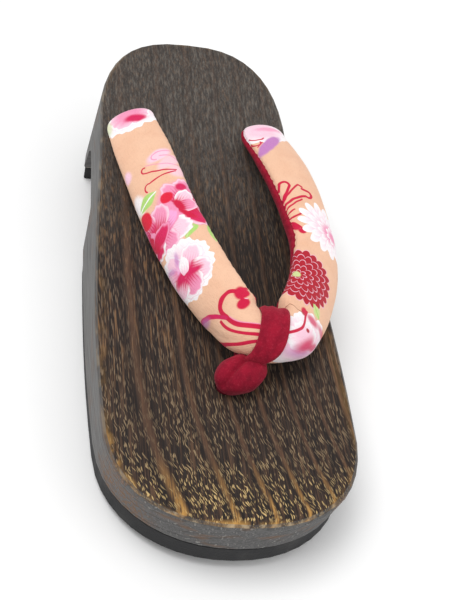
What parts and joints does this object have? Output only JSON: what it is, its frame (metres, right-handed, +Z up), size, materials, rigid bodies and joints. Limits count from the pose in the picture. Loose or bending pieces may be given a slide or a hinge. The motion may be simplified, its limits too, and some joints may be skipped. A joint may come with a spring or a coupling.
{
  "type": "geta sandal",
  "caption": "Wooden geta sandal: scorched one-piece base arched underneath, rubber treads, padded floral strap held by a wrapped toe loop.",
  "frame": {"origin": "on the floor under the middle of the wooden base, which is on the flat underside of the front tread", "axes": "+Z up, -Y to the toe, +Y to the heel, +X to the side that the strap's meeting point leans to"},
  "size_m": [0.092, 0.235, 0.0506],
  "materials": {
    "scorched_wood": "scorched and brushed, grain standing proud, satin",
    "black_rubber": "matt foam rubber",
    "printed_crepe": "printed crepe, matt",
    "crimson_velveteen": "napped velveteen, matt"
  },
  "bodies": {
    "root": {"wood_base": "scorched_wood", "front_tread": "black_rubber", "heel_tread": "black_rubber", "strap": "printed_crepe", "toe_loop": "crimson_velveteen", "front_knot": "crimson_velveteen", "left_rear_knot": "crimson_velveteen", "right_rear_knot": "crimson_velveteen"}
  },
  "joints": []
}
